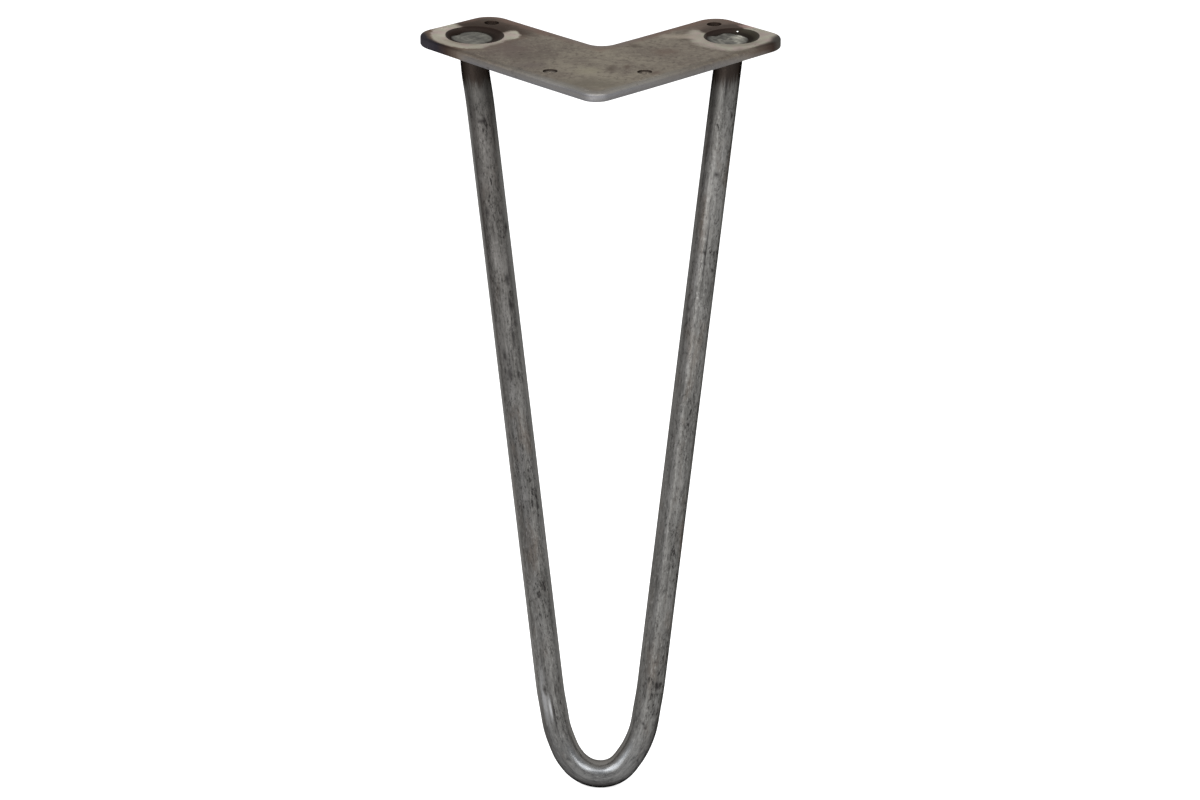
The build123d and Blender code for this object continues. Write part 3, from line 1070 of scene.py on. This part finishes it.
@dataclass
class MountingPlate:
    """The V-shaped plate with its screw holes and dished weld holes.

    Spreads, drifts, lifts, shifts and the trim are where the plate, made by hand, strays from its drawing.
    """

    sizes: LegSizes = SIZES
    corner_steps: int = 14
    edge_steps: int = 26
    ring_steps: int = 96
    dish_steps: int = 26
    sheet_pitch: float = 0.0016
    top_inset: float = 0.0026
    top_margin: float = 0.0019
    far_edge: float = 0.0004
    wall_rows: Pair = (0.0020, 0.0029)
    bevel_start: float = 0.00005
    bottom_margin: float = 0.0005
    bottom_inset: float = 0.0009
    edge_probe: float = 0.001
    screw_lip: float = 0.0003
    dish_lip: float = 0.0015
    dish_ease: float = 0.1
    lip_wander: float = 0.0003
    lip_reach: float = 0.002
    lip_start: float = 0.0002
    floor_ring: float = 0.0075
    left_spread: float = 0.0010
    right_spread: float = 0.0001
    left_drift: Pair = (0.0012, -0.0017)
    right_drift: Pair = (0.0006, -0.0012)
    left_lift: Pair = (0.045, 0.020)
    right_lift: Pair = (0.020, 0.0185)
    lift_ease: float = 0.008
    right_trim: float = 0.0010
    outer_shift: Pair = (0.0004, -0.0007)
    inner_shift: Pair = (0.0003, 0.0010)

    def dish_centre(self, side: Side) -> np.ndarray:
        """Where a dish's mouth is centred: beside the rod, as it was ground by hand."""
        return self.sizes.rod_end(side) + np.array(side.pick(self.left_drift, self.right_drift))

    def lift(self, x: np.ndarray) -> np.ndarray:
        """How far the arms' ends rise, drawn up by the welds: a slope with a soft start on each side.

        Args:
            x: Places across the plate.

        Returns:
            Heights.
        """
        rise = np.zeros_like(x)
        for side in Side:
            start, slope = side.pick(self.left_lift, self.right_lift)
            rise += slope * self.lift_ease * np.logaddexp(0.0, (side.value * x - start) / self.lift_ease)
        return rise

    def outline(self, inset: np.ndarray) -> np.ndarray:
        """The plate's outline, drawn in by an inset: six quarter arcs joined by straights.

        At a corner that turns left the arc's radius shrinks by the inset, and at the inner corner, which
        turns right, it grows. As it was cut by hand, the right arm is a little short and the middle
        a little full.

        Args:
            inset: Insets, one a row.

        Returns:
            Points, rows by places round the outline by two.
        """
        s = self.sizes
        tip, inner_y = s.arm_length * SLANT, s.arm_width / SLANT
        back_x, back_y = (s.arm_length - s.arm_width) * SLANT, (s.arm_length + s.arm_width) * SLANT
        right = [[0.0, 0.0], [tip, tip], [back_x, back_y], [0.0, inner_y]]
        corners = np.array([*right, [-back_x, back_y], [-tip, tip]])
        corners[0] += self.outer_shift
        corners[1:3] -= self.right_trim * SLANT
        corners[3] += self.inner_shift
        corners[:, 1] -= s.setback
        arms = [s.tip_radius, s.back_radius]
        radius = np.array([s.outer_radius, *arms, s.inner_radius, *arms[::-1]])
        bend = np.array([1.0, 1.0, 1.0, -1.0, 1.0, 1.0])
        come = corners - np.roll(corners, 1, axis=0)
        come /= np.linalg.norm(come, axis=1)[:, None]
        left = np.stack([-come[:, 1], come[:, 0]], axis=1)
        centre = corners - radius[:, None] * come + (bend * radius)[:, None] * left
        first = np.arctan2(-bend * left[:, 1], -bend * left[:, 0])
        angle = first[:, None] + bend[:, None] * np.linspace(0.0, 0.25 * TURN, self.corner_steps + 1)
        size = radius[None, :, None] - bend[None, :, None] * inset[:, None, None]
        swing = np.stack([np.cos(angle), np.sin(angle)], axis=-1)
        arcs = centre[None, :, None, :] + size[..., None] * swing[None]
        part = np.linspace(0.0, 1.0, self.edge_steps + 1)[1:-1]
        start, stop = arcs[:, :, -1:, :], np.roll(arcs, -1, axis=1)[:, :, :1, :]
        straights = start + part[None, None, :, None] * (stop - start)
        return np.concatenate([arcs, straights], axis=2).reshape(len(inset), -1, 2)

    def rim(self) -> tuple[np.ndarray, np.ndarray]:
        """The plate's edge: a rounded top corner, a wall and a bevelled lower corner, all round.

        The top corner's radius is full where the edge faces the front and small where it faces the back.

        Returns:
            A grid of points, from the top face's margin down to the lower face's, and each point's inset.
        """
        s, probe = self.sizes, self.edge_probe
        edge, inner = self.outline(np.array([0.0, probe]))
        inward = (inner - edge) / probe
        share = np.clip(0.5 + 0.9 * inward[:, 1], 0.0, 1.0)
        corner = self.far_edge + (s.top_edge - self.far_edge) * share
        swing = np.linspace(0.0, 0.25 * TURN, 9)
        insets = [self.top_inset, self.top_margin, *np.outer(1.0 - np.sin(swing), corner), 0.0, 0.0,
                  self.bevel_start, s.bottom_edge, self.bottom_margin, self.bottom_inset]
        depths = [0.0, 0.0, *np.outer(1.0 - np.cos(swing), corner), *self.wall_rows,
                  s.thickness - s.bottom_edge, s.thickness, s.thickness, s.thickness]
        inset, depth = (np.stack([row + 0.0 * corner for row in rows]) for rows in (insets, depths))
        flat = edge + inset[..., None] * inward
        return np.concatenate([flat, -depth[..., None]], axis=-1), inset

    def ring(self, centre: np.ndarray, radius: np.ndarray, depth: np.ndarray) -> np.ndarray:
        """Circles of the radii and depths given, as a grid.

        Args:
            centre: X and Y, or one such pair a row.
            radius: Radius a row.
            depth: Depth below the top face, rows by one or by places.

        Returns:
            A grid of points, rows by places by three.
        """
        turn = TURN * turns(self.ring_steps)
        depth = np.broadcast_to(depth, (len(radius), self.ring_steps))
        centre = np.broadcast_to(centre, (len(radius), 2))
        flat = centre[:, None, :] + radius[:, None, None] * np.stack([np.cos(turn), np.sin(turn)], axis=-1)
        return np.concatenate([flat, -depth[..., None]], axis=-1)

    def dish_mouth(self, side: Side) -> float:
        """The radius at which a dish starts, which grinding left wider on one side."""
        return self.sizes.dish_radius + side.pick(self.left_spread, self.right_spread)

    def dish_depth_at(self, radius: np.ndarray, side: Side) -> np.ndarray:
        """A dish's depth by radius: a straight slope to the floor, eased in at the lip over its first tenth.

        Args:
            radius: Distances from the mouth's centre.
            side: The arm.

        Returns:
            Depths below the top face.
        """
        s, ease, lip = self.sizes, self.dish_ease, self.dish_mouth(side)
        share = np.clip((lip - radius) / (lip - s.dish_floor_radius), 0.0, 1.0)
        slope = np.where(share < ease, share**2 / (2 * ease), share - ease / 2)
        return s.dish_depth * slope / (1.0 - ease / 2)

    def dish(self, side: Side) -> np.ndarray:
        """A weld dish from its lip to the bore: the lip wanders a little and the centre slides to the rod's.

        Args:
            side: The arm.

        Returns:
            A grid of points.
        """
        s = self.sizes
        slope = np.linspace(self.dish_mouth(side) + self.lip_start, s.dish_floor_radius, self.dish_steps)
        radius = np.concatenate([[s.dish_radius + self.dish_lip], slope, [self.floor_ring, s.bore_radius]])
        turn = turns(self.ring_steps)
        sway = self.lip_wander * wave(turn, np.zeros_like(turn), 11 + side.value, 5)
        near_lip = np.exp(-(((radius - s.dish_radius) / self.lip_reach) ** 2))
        depth = self.dish_depth_at(radius[:, None] + sway * near_lip[:, None], side)
        depth[0] = 0.0
        depth[-2:] = s.dish_depth
        mouth, rod = self.dish_centre(side), s.rod_end(side)
        slide = np.clip((s.dish_radius - radius) / (s.dish_radius - s.dish_floor_radius), 0.0, 1.0)[:, None]
        return self.ring(mouth + slide * (rod - mouth), radius, depth)

    def bore(self, side: Side) -> np.ndarray:
        """The slanted hole round the rod's end, from the dish's floor to the lower face.

        Args:
            side: The arm.

        Returns:
            A grid of points.
        """
        s = self.sizes
        flat = HairpinRod(s).path()[0]
        run_x, run_t = flat[-1] - flat[-2]
        depth = np.linspace(s.dish_depth, s.thickness, 3)[:, None]
        shift = np.array([side.value * run_x / run_t, math.tan(s.lean)])
        return self.ring(s.rod_end(side) - (depth - s.dish_depth) * shift, np.full(3, s.bore_radius), depth)

    def screw_hole(self, centre: np.ndarray) -> np.ndarray:
        """A screw hole's wall, its rims eased above and below.

        Args:
            centre: The hole's X and Y.

        Returns:
            A grid of points.
        """
        s, lip = self.sizes, self.screw_lip
        swing = np.linspace(0.0, 0.25 * TURN, 5)
        ease = s.screw_radius + lip * (1.0 - np.sin(swing))
        down = lip * (1.0 - np.cos(swing))
        margin = s.screw_radius + 2.2 * lip
        radius = np.concatenate([[margin], ease, [s.screw_radius], ease[::-1], [margin]])
        depth = np.concatenate([[0.0], down, [0.5 * s.thickness], s.thickness - down[::-1], [s.thickness]])
        return self.ring(centre, radius, depth[:, None])

    def sheet(self, loops: list[np.ndarray]) -> tuple[np.ndarray, np.ndarray, np.ndarray]:
        """Fills a flat face between its outline and its holes with even triangles.

        Args:
            loops: The outline and then each hole's ring, in X and Y.

        Returns:
            Points in X and Y, triangles, and each point's distance from the outline.
        """
        low, high = loops[0].min(axis=0), loops[0].max(axis=0)
        step = self.sheet_pitch
        across, along = np.arange(low[0], high[0], step), np.arange(low[1], high[1], step)
        grid = np.stack(np.meshgrid(across, along), axis=-1).reshape(-1, 2)
        grid[:, 0] += 0.5 * step * (np.round((grid[:, 1] - low[1]) / step) % 2)
        grid = grid[self.on_face(grid, loops, 0.55 * step)]
        points = np.concatenate([*loops, grid])
        first = np.cumsum([0, *[len(loop) for loop in loops]])
        edges = [np.stack([np.arange(len(loop)), np.roll(np.arange(len(loop)), -1)], axis=1) + start
                 for loop, start in zip(loops, first)]
        made = delaunay_2d_cdt([Vector(p) for p in points], np.concatenate(edges).tolist(), [], 0, 1e-9)
        flat, faces = np.array([tuple(p) for p in made[0]]), np.array(made[2])
        faces = faces[self.on_face(flat[faces].mean(axis=1), loops, 0.0)]
        return flat, faces, self.loop_test(flat, loops[0])[1]

    @staticmethod
    def loop_test(points: np.ndarray, loop: np.ndarray) -> tuple[np.ndarray, np.ndarray]:
        """Whether points lie within a loop, and how far they are from it.

        A point is within where a ray from it towards +X crosses the loop an odd number of times.

        Args:
            points: Points in X and Y.
            loop: The loop's points in order.

        Returns:
            One truth value and one distance a point.
        """
        run = np.roll(loop, -1, axis=0) - loop
        gap = points[:, None, :] - loop[None]
        share = np.clip((gap * run).sum(axis=-1) / (run**2).sum(axis=-1), 0.0, 1.0)
        away = np.linalg.norm(gap - share[..., None] * run, axis=-1).min(axis=1)
        rise = np.where(run[:, 1] == 0.0, 1.0, run[:, 1])
        spans = (gap[..., 1] >= 0.0) != (gap[..., 1] >= run[:, 1])
        crossed = spans & (gap[..., 0] < gap[..., 1] * run[:, 0] / rise)
        return crossed.sum(axis=1) % 2 == 1, away

    def on_face(self, points: np.ndarray, loops: list[np.ndarray], margin: float) -> np.ndarray:
        """Whether points lie within the first loop, outside the others and clear of all by a margin.

        Args:
            points: Points in X and Y.
            loops: The outline and then the holes.
            margin: The clearance.

        Returns:
            One truth value a point.
        """
        good = np.ones(len(points), bool)
        for number, loop in enumerate(loops):
            within, away = self.loop_test(points, loop)
            good &= (within if number == 0 else ~within) & (away >= margin)
        return good

    def build(self) -> bpy.types.Object:
        """Joins rim, faces, dishes, bores and screw holes into one closed plate.

        Returns:
            The plate's object.
        """
        s = self.sizes
        parts = MeshParts("v_plate")
        rim, inset = self.rim()
        parts.grid(rim, edge_gap=inset, depth=-rim[..., 2])
        top, bottom = [rim[0, :, :2]], [rim[-1, :, :2]]
        for side in Side:
            dish, bore = self.dish(side), self.bore(side)
            holes = [self.screw_hole(s.on_plate(place, side)) for place in (s.front_screw, s.rear_screw)]
            for wall in (dish, bore, *holes):
                parts.grid(wall, edge_gap=np.full(wall.shape[:2], s.arm_width), depth=-wall[..., 2])
            top += [wall[0, :, :2] for wall in (dish, *holes)]
            bottom += [wall[-1, :, :2] for wall in (bore, *holes)]
        faces = ((top, 0.0, self.top_inset), (bottom, -s.thickness, self.bottom_inset))
        for loops, height, margin in faces:
            flat, triangles, away = self.sheet(loops)
            points = np.concatenate([flat, np.full((len(flat), 1), height)], axis=1)
            parts.triangles(points, triangles, edge_gap=away + margin, depth=-points[:, 2])
        for points in parts.points:
            points[:, 2] += self.lift(points[:, 0])
        return parts.finish(sharp=50.0)

    def dress(self, piece: bpy.types.Object, effects: SharedEffects) -> None:
        """Gives the plate its finish and its place in the frame.

        Args:
            piece: The built piece.
            effects: The shared node groups.
        """
        piece.data.materials.append(PlateFinish(effects, self).material)
        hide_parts("mounting_plate")
        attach(piece, "root")


@dataclass(frozen=True)
class Bead:
    """A drop of weld spatter: its place from the rod's axis, its height and its radius."""

    x: float
    y: float
    z: float
    radius: float


@dataclass(frozen=True)
class Bite:
    """Where a weld's outline draws in: its turn, its share of the radius and its width in turns."""

    turn: float
    depth: float
    width: float


@dataclass
class PlugWeld:
    """One plug weld: a low rippled dome in its dish."""

    side: Side
    plate: MountingPlate = field(default_factory=MountingPlate)
    radius: float = 0.0098
    drift: Pair = (0.0001, -0.0006)
    bites: tuple[Bite, ...] = (Bite(0.30, 0.12, 0.14), Bite(0.42, 0.13, 0.06))
    lobe: float = 0.025
    sheen: Optional[Pair] = None
    sheen_reach: Pair = (0.0024, 0.0060)
    crater: Pair = (0.0022, -0.0010)
    # Gloss and contrast set how much painted highlight the ripples' crests take.
    gloss: float = 0.22
    contrast: float = 0.55
    ripple_height: float = 0.00005
    ripple_pitch: float = 0.0029
    ripple_sway: float = 0.0009
    sway_length: float = 0.02
    lump_length: float = 0.014
    crater_radius: float = 0.0016
    crown: float = 0.0015
    skirt: float = 0.0004
    rings: int = 46
    around: int = 128
    seed: int = 5
    bead: Optional[Bead] = None

    def build(self) -> bpy.types.Object:
        """Raises the weld: a dome over a lobed outline, with arcs of ripple about its crater.

        The height is the dish's depth at the outline, rising to the crown with the sixth power of the share
        of the radius, plus ripples that fade out at the outline.

        Returns:
            The weld's object.
        """
        rod = self.plate.sizes.rod_end(self.side)
        centre = rod + np.array(self.drift)
        turn = turns(self.around)
        lobes = self.lobe * wave(turn, np.zeros_like(turn), self.seed, 6)
        for bite in self.bites:
            gap = (turn - bite.turn + 0.5) % 1.0 - 0.5
            lobes = lobes - bite.depth * np.exp(-((gap / bite.width) ** 2))
        share = np.linspace(1.0, 0.0, self.rings, endpoint=False)[:, None]
        away_x = share * self.radius * (1.0 + lobes) * np.cos(TURN * turn)
        away_y = share * self.radius * (1.0 + lobes) * np.sin(TURN * turn)
        x, y = centre[0] + away_x, centre[1] + away_y
        mouth = self.plate.dish_centre(self.side)
        floor = -self.plate.dish_depth_at(np.hypot(x[0] - mouth[0], y[0] - mouth[1]), self.side)
        ripple = self.ripple(away_x, away_y)
        fade = np.clip((1.0 - share) * 6.0, 0.0, 1.0)
        z = floor * share**6 - self.crown * (1.0 - share**6) + self.ripple_height * ripple * fade
        points = np.stack([x, y, z + self.plate.lift(x)], axis=-1)
        # Crest: the painted highlight on the ripples' crests.
        crest = np.clip(self.gloss * (1.0 + self.contrast * ripple), 0.0, 1.0) * fade
        # The sheen is a painted highlight: a bright patch added to the crest value.
        if self.sheen is not None:
            (sheen_x, sheen_y), (wide, deep) = self.sheen, self.sheen_reach
            away = np.hypot((away_x - sheen_x) / wide, (away_y - sheen_y) / deep)
            crest = crest + fade * np.exp(-(away**2)) * (0.8 + 0.3 * ripple)
        parts = MeshParts(f"{self.side.name.lower()}_weld_puddle")
        skirt = np.stack([points[0] - [0.0, 0.0, self.skirt], points[0]])
        plain, none = np.zeros((2, self.around)), np.zeros(self.around + 1)
        parts.grid(skirt, toe=plain + 1.0, crest=plain, bead=plain)
        parts.grid(points, toe=np.broadcast_to(share, x.shape), crest=crest, bead=np.zeros_like(x))
        parts.fan(points[-1], points[-1].mean(axis=0), toe=none, crest=none + crest[-1].mean(), bead=none)
        parts.fan(skirt[0], np.array([*centre, skirt[0, :, 2].min()]), toe=none + 1.0, crest=none, bead=none)
        if self.bead is not None:
            self.spatter(parts, rod, self.bead, float(self.plate.lift(rod[:1])[0]))
        return parts.finish(sharp=60.0)

    def ripple(self, x: np.ndarray, y: np.ndarray) -> np.ndarray:
        """Ripples as the weld set: a sine of the distance from the crater, its pitch wandering.

        Args:
            x: Distances from the weld's centre in X.
            y: Distances in Y.

        Returns:
            Heights of about -1 to 1, low in the crater.
        """
        away = np.hypot(x - self.crater[0], (y - self.crater[1]) * 1.25)
        sway = self.ripple_sway * wave(x / self.sway_length, y / self.sway_length, self.seed + 1, 4)
        waves = np.sin(TURN * (away + sway) / self.ripple_pitch)
        lumps = wave(x / self.lump_length, y / self.lump_length, self.seed + 2, 4)
        crater = np.exp(-((away / self.crater_radius) ** 2))
        return (0.5 + 0.35 * lumps) * waves + 0.6 * lumps - 1.2 * crater

    @staticmethod
    def spatter(parts: MeshParts, rod: np.ndarray, bead: Bead, lift: float) -> None:
        """Adds one drop of spatter: a ball squashed where it stuck.

        Args:
            parts: The weld's mesh.
            rod: The rod's X and Y.
            bead: The drop.
            lift: How far the plate has risen there.
        """
        turn = TURN * turns(20)
        tilt = np.linspace(0.06, 0.94, 10)[:, None] * np.pi
        ball = np.stack([np.sin(tilt) * np.cos(turn) * 1.25, np.sin(tilt) * np.sin(turn),
                         np.cos(tilt) + 0.0 * turn], axis=-1)
        points = np.array([rod[0] + bead.x, rod[1] + bead.y, bead.z + lift]) + bead.radius * ball
        flat, none = np.zeros(points.shape[:2]), np.zeros(len(turn) + 1)
        parts.grid(points, toe=flat, crest=flat, bead=flat + 1.0)
        for row in (0, -1):
            parts.fan(points[row], points[row].mean(axis=0), toe=none, crest=none, bead=none + 1.0)

    def dress(self, piece: bpy.types.Object, material: bpy.types.Material) -> None:
        """Gives the weld its finish and its place in the frame.

        Args:
            piece: The built piece.
            material: The weld metal.
        """
        piece.data.materials.append(material)
        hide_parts(f"{self.side.name.lower()}_plug_weld")
        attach(piece, "root")


@dataclass(frozen=True)
class Lamp:
    """A flat studio lamp: where it hangs, what it faces, its width and height, and its power."""

    name: str
    place: Point
    target: Point
    width: float
    height: float
    power: float


@dataclass
class Studio:
    """The white floor, the soft lamps and the camera at the photograph's angle."""

    sizes: LegSizes = SIZES
    floor_side: float = 24.0
    floor_glow: float = 0.72
    floor_white: Colour = (0.8, 0.8, 0.8, 1.0)
    sky_white: Colour = (1.0, 1.0, 1.0, 1.0)
    sky_light: float = 0.45
    camera_place: Point = (0.13086, -3.81911, 1.18140)
    camera_aim: Point = (0.001158, 0.0, -0.154583)
    lens: float = 270.0
    sensor: float = 36.0
    lamps: tuple[Lamp, ...] = (
        Lamp("top_bank", (0.0, -1.33, 1.11), (0.0, 0.03, -0.34), 2.8, 0.5, 18.0),
        Lamp("left_bank", (-1.24, -1.47, 0.63), (0.0, 0.03, -0.34), 1.25, 1.6, 40.0),
        Lamp("right_bank", (1.02, -1.69, 0.56), (0.0, 0.03, -0.34), 0.75, 1.25, 21.0),
        Lamp("floor_bank", (-0.33, -1.02, -0.345), (-0.33, -1.02, 1.0), 0.26, 0.4, 10.0),
    )

    def floor(self) -> None:
        """Lays the floor under the foot and gives it a white face that keeps a soft shadow."""
        half = 0.5 * self.floor_side
        corners = np.array([[-half, -half], [half, -half], [half, half], [-half, half]])
        points = np.concatenate([corners, np.full((4, 1), -self.sizes.height)], axis=1)
        mesh = bpy.data.meshes.new("studio_floor")
        mesh.from_pydata(points, [], [(0, 1, 2, 3)])
        ground = into_scene("studio_floor", mesh)
        material = bpy.data.materials.new("white_floor")
        graph = Graph.of(material)
        face = graph.put("ShaderNodeBsdfDiffuse", {"Color": self.floor_white})
        glow = graph.put("ShaderNodeEmission", {"Strength": self.seen(graph) * self.floor_glow})
        graph.end("ShaderNodeOutputMaterial", graph.put("ShaderNodeAddShader", {0: face, 1: glow}))
        mesh.materials.append(material)

    @staticmethod
    def seen(graph: Graph) -> Field:
        """One for rays that show the background: from the camera, by a reflection or through glass.

        Args:
            graph: The graph that asks.

        Returns:
            One or zero.
        """
        rays = graph.outputs(graph.add("ShaderNodeLightPath"))
        direct = graph.math("ADD", rays["Is Camera Ray"], rays["Is Glossy Ray"], clamp=True)
        return graph.math("ADD", direct, rays["Is Transmission Ray"], clamp=True)

    def light(self) -> None:
        """Hangs the lamps and sets the world: white to the eye and in reflections, softer as light."""
        for lamp in self.lamps:
            data = bpy.data.lights.new(lamp.name, "AREA")
            data.shape = "RECTANGLE"
            data.size = lamp.width
            data.size_y = lamp.height
            data.energy = lamp.power
            hung = into_scene(lamp.name, data)
            hung.location = lamp.place
            aim = Vector(lamp.target) - Vector(lamp.place)
            hung.rotation_euler = aim.to_track_quat("-Z", "Y").to_euler()
        world = bpy.data.worlds.new("studio_world")
        graph = Graph.of(world)
        strength = self.seen(graph).span(0.0, 1.0, self.sky_light, 1.0)
        back = graph.put("ShaderNodeBackground", {"Color": self.sky_white, "Strength": strength})
        graph.end("ShaderNodeOutputWorld", back)
        bpy.context.scene.world = world

    def camera(self) -> None:
        """Sets the camera where the photograph was taken from."""
        data = bpy.data.cameras.new("photo_camera")
        data.lens = self.lens
        data.sensor_width = self.sensor
        data.clip_end = 100.0
        camera = into_scene("photo_camera", data)
        back = Vector(self.camera_place) - Vector(self.camera_aim)
        turn = back.to_track_quat("Z", "Y").to_matrix().to_4x4()
        camera.matrix_world = Matrix.Translation(Vector(self.camera_place)) @ turn
        bpy.context.scene.camera = camera

    def build(self) -> None:
        """Sets up the whole studio and plain colour handling."""
        self.floor()
        self.light()
        self.camera()
        bpy.context.scene.view_settings.view_transform = "Standard"


def main() -> None:
    """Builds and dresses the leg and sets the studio."""
    logging.basicConfig(level=logging.INFO, format="%(name)s %(message)s")
    effects = SharedEffects()
    plate = MountingPlate()
    plate.dress(plate.build(), effects)
    rod = HairpinRod()
    rod.dress(rod.build(), effects)
    weld_metal = WeldFinish(effects).material
    right_weld = PlugWeld(
        Side.RIGHT, plate, drift=(-0.0014, -0.0004), bites=(Bite(0.27, 0.08, 0.14), Bite(0.375, 0.20, 0.07)),
        sheen=(0.0046, 0.0004), crater=(0.0026, -0.0012), contrast=0.9, ripple_height=0.00010, seed=23,
        bead=Bead(0.0027, 0.0087, -0.0009, 0.00043),
    )
    for weld in (PlugWeld(Side.LEFT, plate), right_weld):
        weld.dress(weld.build(), weld_metal)
    Studio().build()


if __name__ == "__main__":
    main()
